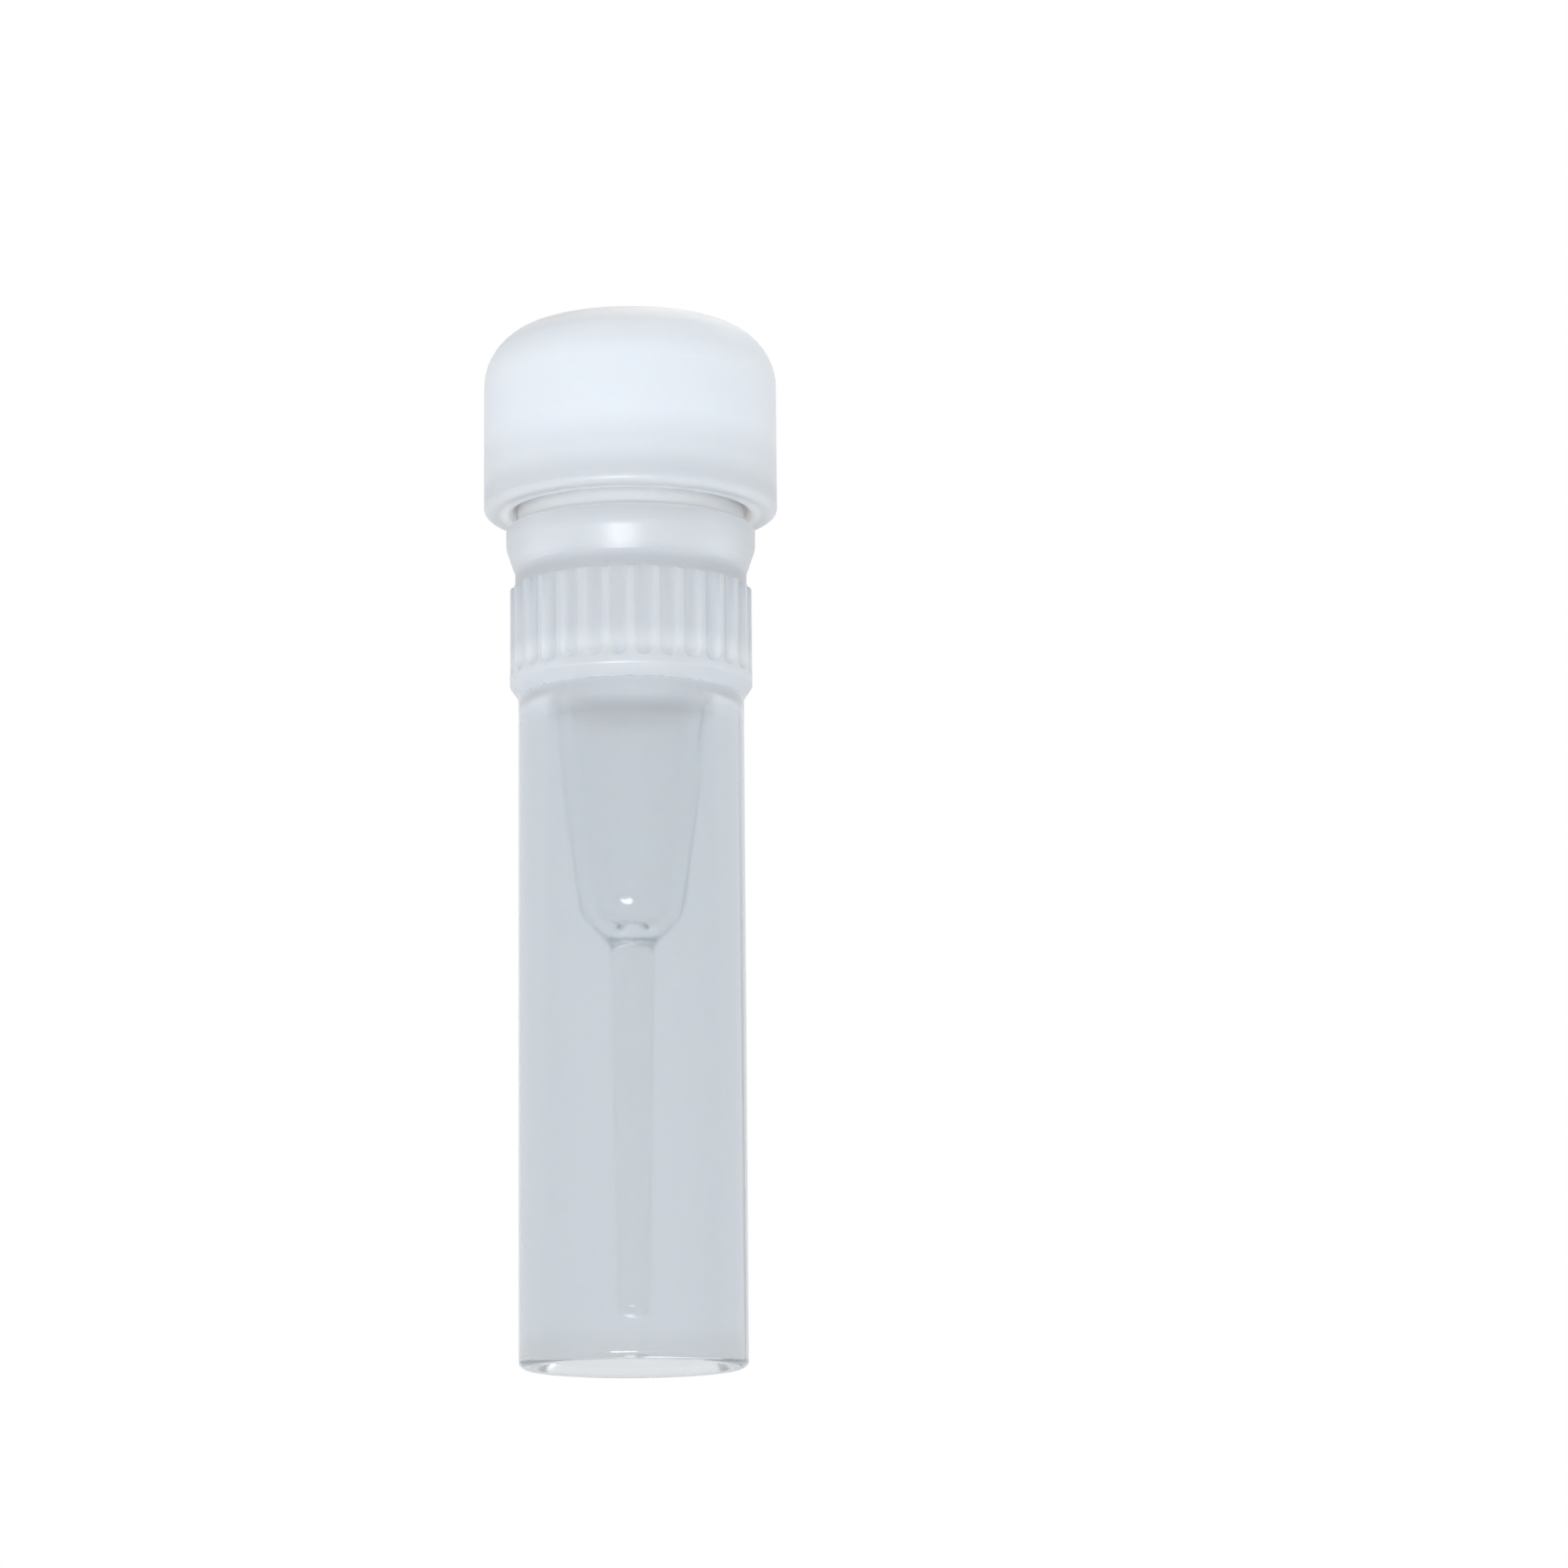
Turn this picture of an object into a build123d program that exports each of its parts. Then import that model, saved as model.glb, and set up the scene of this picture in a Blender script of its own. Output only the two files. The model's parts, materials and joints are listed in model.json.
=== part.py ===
from build123d import *
import os
from math import radians, sqrt, tan

# A self-standing screw-cap cryovial, in millimetres, +Z up along the vial's axis.
# The origin is the centre of the foot ring, on the plane that the vial stands on.
# Three pieces: the moulded vial, the screw cap and the seal ring between them.

# Skirt: the thin round body that the vial stands on, open underneath.
body_diameter = 10.8
body_height = 32.0           # from the standing plane up to the collar
foot_edge_round = 0.35
foot_bore_diameter = 8.3     # inside of the skirt at its foot
foot_bore_chamfer = 0.4
skirt_root_diameter = 7.9    # inside of the skirt where it joins the vessel
skirt_root_height = 32.4
skirt_root_round = 0.12

# Vessel: the tapered cup that hangs inside the skirt, with a centre post below its floor.
vessel_top_diameter = 7.2
vessel_waist_diameter = 6.7
vessel_waist_height = 28.0
vessel_waist_round = 9.0
vessel_knee_diameter = 4.95
vessel_knee_height = 21.45
vessel_knee_round = 1.6
vessel_wall = 0.85           # from the waist down
vessel_mouth_diameter = 6.4  # inside, where the funnel ends
vessel_floor = 0.9           # thickness, from the post's root up to the inside of the bowl
vessel_bowl_round = 1.5
post_root_diameter = 2.1
post_root_height = 19.95
post_root_round = 0.4
post_tip_diameter = 1.5
post_tip_height = 2.3
post_tip_round = 0.7

# Collar: a fluted gripping band above the body.
collar_diameter = 11.6
collar_height = 5.3
collar_chamfer_height = 0.6
collar_foot_round = 0.2
collar_top_round = 0.12
flute_count = 30
flute_radius = 0.62
flute_depth = 0.22
flute_foot_height = 0.95     # from the collar's lower edge up to the flutes' rounded ends

# Groove and bead between the collar and the neck.
groove_diameter = 11.1
groove_height = 0.85
bead_lip_diameter = 11.36    # where the bead's underside turns into its taper
bead_lip_height = 0.3
bead_lip_round = 0.3
bead_diameter = 11.96
bead_taper_height = 0.9
bead_height = 0.95
bead_foot_round = 0.8
bead_top_round = 0.2

# Neck: the threaded mouth, with a straight bore that funnels down into the vessel.
land_diameter = 10.9         # plain band between the bead and the thread
land_height = 1.0
neck_diameter = 10.0
neck_height = 7.2
mouth_diameter = 8.0
rim_chamfer = 0.15
shoulder_wall = 1.8          # from the skirt's root up to the top of the funnel
funnel_height = 0.75

# Thread: one start, right-handed, with the same section on the neck and in the cap.
thread_pitch = 2.0
thread_depth = 0.5
thread_crest_width = 0.35
thread_flank_angle = 22.0
thread_sink = 0.1            # how far a ridge's foot is buried in its own wall
thread_clearance = 0.15      # from a crest to the opposite root
neck_thread_start = 1.6      # from the bead's top face to the middle of the lowest ridge
neck_thread_turns = 2.2
cap_thread_turns = 1.6

# Screw cap: a smooth domed cover with a hollow plug that centres the seal ring.
cap_diameter = 14.1
cap_crown_round = 2.9
cap_foot_round = 0.35
cap_roof = 1.7
cap_gap = 0.7                # from the bead's top face to the cap's lower edge
cap_mouth_chamfer = 0.2
plug_clearance = 0.35        # radial, between the plug and the vial's mouth
plug_reach = 0.9             # how far the plug enters the mouth
plug_wall = 1.2
plug_edge_round = 0.25

# Seal ring: a flat silicone washer between the vial's rim and the cap's roof.
seal_thickness = 1.0
seal_outer_gap = 0.2
seal_inner_gap = 0.12
seal_edge_round = 0.12

# Radii and heights that follow from the sizes above.
body_radius = body_diameter / 2
foot_bore_radius = foot_bore_diameter / 2
vessel_waist_radius = vessel_waist_diameter / 2
vessel_knee_radius = vessel_knee_diameter / 2
bowl_radius = vessel_knee_radius - vessel_wall
collar_radius = collar_diameter / 2
groove_radius = groove_diameter / 2
bead_lip_radius = bead_lip_diameter / 2
bead_radius = bead_diameter / 2
land_radius = land_diameter / 2
neck_radius = neck_diameter / 2
mouth_radius = mouth_diameter / 2
cap_radius = cap_diameter / 2
cap_bore_radius = neck_radius + thread_depth + thread_clearance
plug_radius = mouth_radius - plug_clearance

bowl_height = post_root_height + vessel_floor
collar_top = body_height + collar_height
groove_top = collar_top + groove_height
bead_lip = groove_top + bead_lip_height
bead_foot = bead_lip + bead_taper_height
bead_top = bead_foot + bead_height
rim_height = bead_top + neck_height
funnel_top = skirt_root_height + shoulder_wall
cap_foot = bead_top + cap_gap
cap_ceiling = rim_height + seal_thickness
cap_top = cap_ceiling + cap_roof

neck_thread_height = bead_top + neck_thread_start
cap_thread_height = neck_thread_height + thread_pitch / 2


def half_section(*corners):
    """A closed half section on XZ from (radius, height) corners; a third number rounds its corner."""
    with BuildSketch(Plane.XZ) as section:
        with BuildLine():
            Polyline(*[corner[:2] for corner in corners], close=True)
        make_face()
        for radius, height, *rounding in corners:
            if rounding:
                corner = section.vertices().sort_by_distance((radius, height))[0]
                fillet(corner, rounding[0])
    return section.sketch


def thread_ridge(root_radius, crest_radius, height, turns):
    """One helical ridge of trapezoidal section, standing outwards or inwards from its root."""
    outward = 1 if crest_radius > root_radius else -1
    crest = abs(crest_radius - root_radius)
    crest_half = thread_crest_width / 2
    foot_half = crest_half + (crest + thread_sink) * tan(radians(thread_flank_angle))
    start = Plane(origin=(root_radius, 0, height), x_dir=(outward, 0, 0), z_dir=(0, -outward, 0))
    with BuildPart() as ridge:
        with BuildLine() as path:
            Helix(thread_pitch, thread_pitch * turns, root_radius, center=(0, 0, height))
        with BuildSketch(start):
            with BuildLine():
                Polyline(
                    (-thread_sink, -foot_half),
                    (crest, -crest_half),
                    (crest, crest_half),
                    (-thread_sink, foot_half),
                    close=True,
                )
            make_face()
        sweep(path=path.line, is_frenet=True)
    return ridge.part


neck_ridge = thread_ridge(
    neck_radius, neck_radius + thread_depth, neck_thread_height, neck_thread_turns
)
cap_ridge = thread_ridge(
    cap_bore_radius, cap_bore_radius - thread_depth, cap_thread_height, cap_thread_turns
)

# The vial: one moulding from the foot ring to the threaded mouth.
with BuildPart() as vial_body:
    # Outside: body, collar, groove, bead and neck.
    revolve(
        half_section(
            (0, 0),
            (body_radius, 0, foot_edge_round),
            (body_radius, body_height),
            (collar_radius, body_height + collar_chamfer_height, collar_foot_round),
            (collar_radius, collar_top, collar_top_round),
            (groove_radius, collar_top),
            (groove_radius, groove_top),
            (bead_lip_radius, bead_lip, bead_lip_round),
            (bead_radius, bead_foot, bead_foot_round),
            (bead_radius, bead_top, bead_top_round),
            (land_radius, bead_top),
            (land_radius, bead_top + land_height),
            (neck_radius, bead_top + land_height),
            (neck_radius, rim_height - rim_chamfer),
            (neck_radius - rim_chamfer, rim_height),
            (0, rim_height),
        ),
        axis=Axis.Z,
    )
    add(neck_ridge)

    # Underside: the hollow of the skirt, around the vessel and its centre post.
    revolve(
        half_section(
            (0, 0),
            (foot_bore_radius + foot_bore_chamfer, 0),
            (foot_bore_radius, foot_bore_chamfer),
            (skirt_root_diameter / 2, skirt_root_height, skirt_root_round),
            (vessel_top_diameter / 2, skirt_root_height, skirt_root_round),
            (vessel_waist_radius, vessel_waist_height, vessel_waist_round),
            (vessel_knee_radius, vessel_knee_height, vessel_knee_round),
            (post_root_diameter / 2, post_root_height, post_root_round),
            (post_tip_diameter / 2, post_tip_height, post_tip_round),
            (0, post_tip_height),
        ),
        axis=Axis.Z,
        mode=Mode.SUBTRACT,
    )

    # Inside: the vessel, the funnel above it and the straight bore of the mouth.
    revolve(
        half_section(
            (0, bowl_height),
            (bowl_radius, bowl_height, min(vessel_bowl_round, bowl_radius)),
            (vessel_waist_radius - vessel_wall, vessel_waist_height, vessel_waist_round),
            (vessel_mouth_diameter / 2, funnel_top - funnel_height),
            (mouth_radius, funnel_top),
            (mouth_radius, rim_height - rim_chamfer),
            (mouth_radius + rim_chamfer, rim_height),
            (0, rim_height),
        ),
        axis=Axis.Z,
        mode=Mode.SUBTRACT,
    )

    # Flutes: shallow round grooves down the collar, each ending in a scoop.
    flute_half_width = sqrt(flute_radius**2 - (flute_radius - flute_depth) ** 2)
    flute_foot = body_height + flute_foot_height + flute_half_width
    flute_length = collar_top + groove_height / 2 - flute_foot
    with Locations(Plane.XY.offset(flute_foot)):
        with PolarLocations(collar_radius - flute_depth + flute_radius, flute_count):
            Sphere(flute_radius, mode=Mode.SUBTRACT)
            Cylinder(
                flute_radius,
                flute_length,
                align=(Align.CENTER, Align.CENTER, Align.MIN),
                mode=Mode.SUBTRACT,
            )
vial_body.part.label = "vial_body"

# The cap: a smooth cover with its plug, turned as one section, and the thread inside it.
with BuildPart() as screw_cap:
    revolve(
        half_section(
            (0, cap_ceiling),
            (plug_radius - plug_wall, cap_ceiling),
            (plug_radius - plug_wall, rim_height - plug_reach),
            (plug_radius, rim_height - plug_reach, plug_edge_round),
            (plug_radius, cap_ceiling),
            (cap_bore_radius, cap_ceiling),
            (cap_bore_radius, cap_foot + cap_mouth_chamfer),
            (cap_bore_radius + cap_mouth_chamfer, cap_foot),
            (cap_radius, cap_foot, cap_foot_round),
            (cap_radius, cap_top, cap_crown_round),
            (0, cap_top),
        ),
        axis=Axis.Z,
    )
    add(cap_ridge)
screw_cap.part.label = "screw_cap"

# The seal ring: it lies on the rim, around the plug and clear of the cap's thread.
with BuildPart() as seal_ring:
    revolve(
        half_section(
            (plug_radius + seal_inner_gap, rim_height, seal_edge_round),
            (cap_bore_radius - seal_outer_gap, rim_height, seal_edge_round),
            (cap_bore_radius - seal_outer_gap, cap_ceiling, seal_edge_round),
            (plug_radius + seal_inner_gap, cap_ceiling, seal_edge_round),
        ),
        axis=Axis.Z,
    )
seal_ring.part.label = "seal_ring"

os.makedirs("parts", exist_ok=True)
export_step(vial_body.part, "parts/vial_body.step")
export_step(screw_cap.part, "parts/screw_cap.step")
export_step(seal_ring.part, "parts/seal_ring.step")
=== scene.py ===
"""A self-standing screw-cap cryovial in milky plastic, seen from just below its foot."""
import json
import math

import bpy
from mathutils import Matrix, Vector

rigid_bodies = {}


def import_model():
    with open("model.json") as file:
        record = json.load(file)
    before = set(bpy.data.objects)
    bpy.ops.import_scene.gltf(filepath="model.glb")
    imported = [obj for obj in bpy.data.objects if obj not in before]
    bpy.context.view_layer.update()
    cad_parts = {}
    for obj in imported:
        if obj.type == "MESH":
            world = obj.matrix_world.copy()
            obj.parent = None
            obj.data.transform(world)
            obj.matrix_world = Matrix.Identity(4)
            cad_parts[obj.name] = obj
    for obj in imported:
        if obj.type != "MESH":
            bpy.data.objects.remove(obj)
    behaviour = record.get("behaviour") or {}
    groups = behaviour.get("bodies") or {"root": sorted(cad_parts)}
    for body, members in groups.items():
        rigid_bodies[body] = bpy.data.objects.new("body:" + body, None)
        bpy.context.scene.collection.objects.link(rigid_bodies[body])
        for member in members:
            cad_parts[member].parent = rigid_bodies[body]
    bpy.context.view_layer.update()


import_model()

MM = 0.001
SPAN = 60.0               # mm, the height that the zones of a colour are given on
PLASTIC_IOR = 1.49
CORE_EDGE = (1.1, 1.3)    # mm from the axis, where the core's colour gives way
SKIN_EDGE = 0.2           # mm, half the width of the step to the outer colour
FLOOR_RADIUS = 600.0      # mm
VIAL_MIDDLE = (0, 0, 30)  # mm, where most lamps aim


# ---------------------------------------------------------------- node helpers

def new_material(name):
    """An empty node material and its output node."""
    material = bpy.data.materials.new(name)
    material.use_nodes = True
    nodes = material.node_tree.nodes
    nodes.clear()
    return material, nodes, material.node_tree.links, nodes.new("ShaderNodeOutputMaterial")


def moulding_noise(nodes, links, scale, stretch=(1.0, 1.0, 1.0)):
    """Noise in the part's own coordinates, in features per metre, stretched along an axis."""
    coordinates = nodes.new("ShaderNodeTexCoord")
    mapping = nodes.new("ShaderNodeMapping")
    mapping.inputs["Scale"].default_value = stretch
    noise = nodes.new("ShaderNodeTexNoise")
    noise.inputs["Scale"].default_value = scale
    noise.inputs["Detail"].default_value = 3.0
    links.new(coordinates.outputs["Object"], mapping.inputs["Vector"])
    links.new(mapping.outputs["Vector"], noise.inputs["Vector"])
    return noise.outputs["Fac"]


def ranged(nodes, links, source, low, high):
    """Map a 0 to 1 signal onto a range."""
    span = nodes.new("ShaderNodeMapRange")
    span.inputs["To Min"].default_value = low
    span.inputs["To Max"].default_value = high
    links.new(source, span.inputs["Value"])
    return span.outputs["Result"]


def tinted(nodes, links, source, low, high):
    """Blend two colours by a 0 to 1 signal."""
    mix = nodes.new("ShaderNodeMix")
    mix.data_type = "RGBA"
    mix.inputs["A"].default_value = (*low, 1)
    mix.inputs["B"].default_value = (*high, 1)
    links.new(source, mix.inputs["Factor"])
    return mix.outputs["Result"]


def bumped(nodes, links, height, distance):
    """A bump of a given depth in metres."""
    bump = nodes.new("ShaderNodeBump")
    bump.inputs["Distance"].default_value = distance
    links.new(height, bump.inputs["Height"])
    return bump.outputs["Normal"]


def combined(nodes, links, operation, first, second):
    """Two signals put together by a math operation, such as MULTIPLY or MAXIMUM."""
    math_node = nodes.new("ShaderNodeMath")
    math_node.operation = operation
    links.new(first, math_node.inputs[0])
    links.new(second, math_node.inputs[1])
    return math_node.outputs["Value"]


def reach(nodes, links, axes, start, end):
    """0 to 1 as the distance from the origin along the given axes goes from start to end, in mm."""
    coordinates = nodes.new("ShaderNodeTexCoord")
    along = nodes.new("ShaderNodeMapping")
    along.inputs["Scale"].default_value = axes
    length = nodes.new("ShaderNodeVectorMath")
    length.operation = "LENGTH"
    links.new(coordinates.outputs["Object"], along.inputs["Vector"])
    links.new(along.outputs["Vector"], length.inputs[0])
    span = nodes.new("ShaderNodeMapRange")
    span.inputs["From Min"].default_value = start * MM
    span.inputs["From Max"].default_value = end * MM
    links.new(length.outputs["Value"], span.inputs["Value"])
    return span.outputs["Result"]


def zoned(nodes, links, zones, value):
    """A colour by height, with smooth steps: a zone starts with its height in mm, and value
    picks its colour.
    """
    ramp = nodes.new("ShaderNodeValToRGB")
    ramp.color_ramp.interpolation = "EASE"
    steps = ramp.color_ramp.elements
    while len(steps) < len(zones):
        steps.new(0.5)
    for step, zone in zip(steps, zones):
        step.position = zone[0] / SPAN
        step.color = value(zone)
    links.new(reach(nodes, links, (0, 0, 1), 0.0, SPAN), ramp.inputs["Fac"])
    return ramp.outputs["Color"]


def grey(level):
    """A plain level as a colour."""
    return (level, level, level, 1)


# ---------------------------------------------------------------- materials

def milky_plastic(name, inner, skin, zones, core=None, depth_tint=None):
    """Natural moulded plastic: part clear, part hazy, with its tint in the outer skin.

    inner is the colour of the inner faces, and skin the radius in mm beyond which a face has the
    outer colour. zones gives the height in mm, the outer colour, the clear share and the
    roughness from the foot upwards: the haze goes with the walls' thickness, and in some zones
    the outer colour holds painted light or painted shade. core is the colour of what stands on
    the axis. depth_tint is a colour and a density, for light that goes through.
    """
    material, nodes, links, output = new_material(name)
    shader = nodes.new("ShaderNodeBsdfPrincipled")
    shader.inputs["IOR"].default_value = PLASTIC_IOR
    shader.inputs["Subsurface Weight"].default_value = 1.0
    shader.inputs["Subsurface Radius"].default_value = (1.2, 1.0, 0.8)
    shader.inputs["Subsurface Scale"].default_value = 3.0 * MM

    # Faint streaks along the axis as the melt flowed, on zones with painted light and shade.
    flow = moulding_noise(nodes, links, 500.0, stretch=(1.0, 1.0, 0.12))
    painted_light_and_streaks = nodes.new("ShaderNodeMix")
    painted_light_and_streaks.data_type = "RGBA"
    painted_light_and_streaks.blend_type = "MULTIPLY"
    painted_light_and_streaks.inputs["Factor"].default_value = 1.0
    links.new(zoned(nodes, links, zones, lambda zone: (*zone[1], 1)), painted_light_and_streaks.inputs["A"])
    links.new(ranged(nodes, links, flow, 1.0, 1.015), painted_light_and_streaks.inputs["B"])
    colour = nodes.new("ShaderNodeMix")
    colour.data_type = "RGBA"
    off_axis = reach(nodes, links, (1, 1, 0), *CORE_EDGE)
    links.new(tinted(nodes, links, off_axis, core or inner, inner), colour.inputs["A"])
    outside = reach(nodes, links, (1, 1, 0), skin - SKIN_EDGE, skin + SKIN_EDGE)
    links.new(outside, colour.inputs["Factor"])
    links.new(painted_light_and_streaks.outputs["Result"], colour.inputs["B"])
    links.new(colour.outputs["Result"], shader.inputs["Base Color"])

    # The haze acts where light enters the plastic, less so on its inner faces, and lets it out
    # again unchanged.
    clear = zoned(nodes, links, zones, lambda zone: grey(zone[2]))
    share = combined(nodes, links, "MULTIPLY", clear, ranged(nodes, links, outside, 1.2, 1.0))
    geometry = nodes.new("ShaderNodeNewGeometry")
    leaving = nodes.new("ShaderNodeMapRange")
    leaving.inputs["To Max"].default_value = 1.0  # all clear from the inside out
    links.new(share, leaving.inputs["To Min"])
    links.new(geometry.outputs["Backfacing"], leaving.inputs["Value"])
    links.new(leaving.outputs["Result"], shader.inputs["Transmission Weight"])

    # Fine grain, in the roughness and as a bump.
    grain = moulding_noise(nodes, links, 2500.0)
    rough = zoned(nodes, links, zones, lambda zone: grey(zone[3]))
    uneven = combined(nodes, links, "MULTIPLY", rough, ranged(nodes, links, grain, 0.9, 1.1))
    links.new(uneven, shader.inputs["Roughness"])
    links.new(bumped(nodes, links, grain, 0.004 * MM), shader.inputs["Normal"])
    links.new(shader.outputs["BSDF"], output.inputs["Surface"])
    if depth_tint:
        absorb = nodes.new("ShaderNodeVolumeAbsorption")
        absorb.inputs["Color"].default_value = (*depth_tint[:3], 1)
        absorb.inputs["Density"].default_value = depth_tint[3]
        links.new(absorb.outputs["Volume"], output.inputs["Volume"])
    return material


def dress(node, material):
    """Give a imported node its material."""
    for item in bpy.data.objects:
        if item.type == "MESH" and item.name.split(".")[0] == node:
            for slot in item.material_slots:
                slot.material = material


dress("vial_body", milky_plastic(
    "natural_polypropylene",
    inner=(0.995, 0.995, 0.995), skin=4.6, core=(0.97, 0.96, 0.95),
    zones=[
        (0.4, (0.52, 0.55, 0.58), 0.78, 0.09),     # foot ring
        (2.0, (0.56, 0.605, 0.65), 0.78, 0.09),    # body
        (30.4, (0.56, 0.605, 0.65), 0.78, 0.09),
        (31.4, (0.65, 0.69, 0.74), 0.55, 0.14),    # haze sets in below the collar
        (31.97, (0.65, 0.69, 0.74), 0.50, 0.18),
        (32.03, (0.65, 0.69, 0.74), 0.45, 0.33),   # collar's foot, a step in its crease
        (33.0, (0.65, 0.69, 0.74), 0.40, 0.33),
        (33.6, (0.73, 0.77, 0.81), 0.34, 0.33),    # flutes' rounded ends, painted as a light band
        (34.6, (0.63, 0.67, 0.72), 0.42, 0.33),    # flutes
        (37.2, (0.63, 0.67, 0.72), 0.42, 0.33),
        (37.6, (0.54, 0.58, 0.63), 0.42, 0.33),    # groove, painted shade
        (38.4, (0.73, 0.77, 0.82), 0.38, 0.37),    # bead, its down-facing taper painted lighter as lit from below
        (40.2, (0.69, 0.73, 0.78), 0.38, 0.37),
        (40.5, (0.94, 0.955, 0.97), 0.15, 0.33),   # plain land under the cap, painted light where the cap shades it
        (41.4, (0.94, 0.955, 0.97), 0.15, 0.33),
        (41.8, (0.76, 0.80, 0.85), 0.30, 0.33),    # thread and mouth
    ],
    depth_tint=(0.82, 0.89, 0.95, 40.0)))
dress("screw_cap", milky_plastic(
    "natural_polyethylene",
    inner=(0.97, 0.975, 0.98), skin=6.2,
    zones=[
        (41.3, (0.53, 0.57, 0.62), 0.12, 0.38),    # lower edge, painted shade
        (43.0, (0.69, 0.735, 0.78), 0.12, 0.38),
        (45.0, (0.785, 0.84, 0.91), 0.12, 0.38),   # side and crown
    ]))
dress("seal_ring", milky_plastic(
    "milky_silicone",
    inner=(0.86, 0.87, 0.88), skin=6.2,
    zones=[
        (47.5, (0.86, 0.87, 0.88), 0.30, 0.45),
        (48.5, (0.86, 0.87, 0.88), 0.30, 0.45),
    ]))


# ---------------------------------------------------------------- stage

def floor():
    """A pale floor that shows the vial's shadow.

    It is open from below, because the camera looks up from under it, and it isn't seen by shadow
    rays or mirrored rays, so that the low softbox lights the vial and shows in its gloss.
    """
    bpy.ops.mesh.primitive_circle_add(vertices=96, radius=FLOOR_RADIUS * MM, fill_type="NGON")
    plane = bpy.context.object
    plane.name = "floor"
    material, nodes, links, output = new_material("pale_floor")
    paint = nodes.new("ShaderNodeBsdfDiffuse")
    mottle = moulding_noise(nodes, links, 40.0)
    paper = tinted(nodes, links, mottle, (0.86, 0.86, 0.86), (0.88, 0.88, 0.88))
    links.new(paper, paint.inputs["Color"])
    clear = nodes.new("ShaderNodeBsdfTransparent")
    geometry = nodes.new("ShaderNodeNewGeometry")
    rays = nodes.new("ShaderNodeLightPath")
    unseen = combined(
        nodes, links, "MAXIMUM", rays.outputs["Is Shadow Ray"], rays.outputs["Glossy Depth"])
    open_below = combined(nodes, links, "MAXIMUM", unseen, geometry.outputs["Backfacing"])
    mix = nodes.new("ShaderNodeMixShader")
    links.new(open_below, mix.inputs["Fac"])
    links.new(paint.outputs["BSDF"], mix.inputs[1])
    links.new(clear.outputs["BSDF"], mix.inputs[2])
    links.new(mix.outputs["Shader"], output.inputs["Surface"])
    plane.data.materials.append(material)


def softbox(name, place, target, width, height, power):
    """A rectangular white area lamp aimed at a point, in millimetres and watts."""
    lamp = bpy.data.lights.new(name, "AREA")
    lamp.shape = "RECTANGLE"
    lamp.size = width * MM
    lamp.size_y = height * MM
    lamp.energy = power
    item = bpy.data.objects.new(name, lamp)
    bpy.context.scene.collection.objects.link(item)
    start = Vector(place) * MM
    item.location = start
    item.rotation_euler = (Vector(target) * MM - start).to_track_quat("-Z", "Y").to_euler()
    return item


def surroundings(strength):
    """White to the camera, in gloss and through plastic, and a plain soft light on everything."""
    world = bpy.data.worlds.new("studio")
    bpy.context.scene.world = world
    world.use_nodes = True
    nodes, links = world.node_tree.nodes, world.node_tree.links
    nodes.clear()
    output = nodes.new("ShaderNodeOutputWorld")
    light = nodes.new("ShaderNodeBackground")
    light.inputs["Strength"].default_value = strength
    seen = nodes.new("ShaderNodeBackground")
    seen.inputs["Color"].default_value = (1, 1, 1, 1)
    rays = nodes.new("ShaderNodeLightPath")
    indirect = combined(
        nodes, links, "MAXIMUM", rays.outputs["Is Transmission Ray"], rays.outputs["Is Glossy Ray"])
    white = combined(nodes, links, "MAXIMUM", rays.outputs["Is Camera Ray"], indirect)
    mix = nodes.new("ShaderNodeMixShader")
    links.new(white, mix.inputs["Fac"])
    links.new(light.outputs["Background"], mix.inputs[1])
    links.new(seen.outputs["Background"], mix.inputs[2])
    links.new(mix.outputs["Shader"], output.inputs["Surface"])


def camera(distance, height, aim, lens):
    """A camera in front of the vial, in mm from its foot; aim is pitch, yaw and roll in degrees."""
    pitch, yaw, roll = (math.radians(angle) for angle in aim)
    data = bpy.data.cameras.new("camera")
    data.sensor_width = 36.0
    data.lens = lens
    data.clip_start = 0.005
    item = bpy.data.objects.new("camera", data)
    bpy.context.scene.collection.objects.link(item)
    item.location = (0, -distance * MM, height * MM)
    level = math.cos(pitch)
    ahead = Vector((math.sin(yaw) * level, math.cos(yaw) * level, math.sin(pitch)))
    turn = ahead.to_track_quat("-Z", "Y") @ Matrix.Rotation(roll, 4, "Z").to_quaternion()
    item.rotation_euler = turn.to_euler()
    bpy.context.scene.camera = item


floor()
surroundings(0.75)
softbox("flash", (-53, -290, -110), VIAL_MIDDLE, width=130, height=65, power=0.75)
# The fills stand beyond the floor's edge. Seen through the plastic they would draw streaks.
for name, side, power in (("fill_left", -700, 0.76), ("fill_right", 700, 1.36)):
    fill = softbox(name, (side, 90, 120), VIAL_MIDDLE, width=580, height=700, power=power)
    fill.visible_glossy = fill.visible_transmission = False
softbox("overhead", (90, 170, 360), (0, 0, 25), width=300, height=300, power=0.3)
camera(distance=280.0, height=-26.2, aim=(10.92, 1.487, -0.5), lens=137.2)
bpy.context.scene.view_settings.view_transform = "Standard"
# A ray crosses up to eight walls of plastic, and the clamp keeps fireflies out.
paths = bpy.context.scene.cycles
paths.max_bounces, paths.glossy_bounces, paths.transmission_bounces = 32, 24, 32
paths.sample_clamp_indirect = 30.0
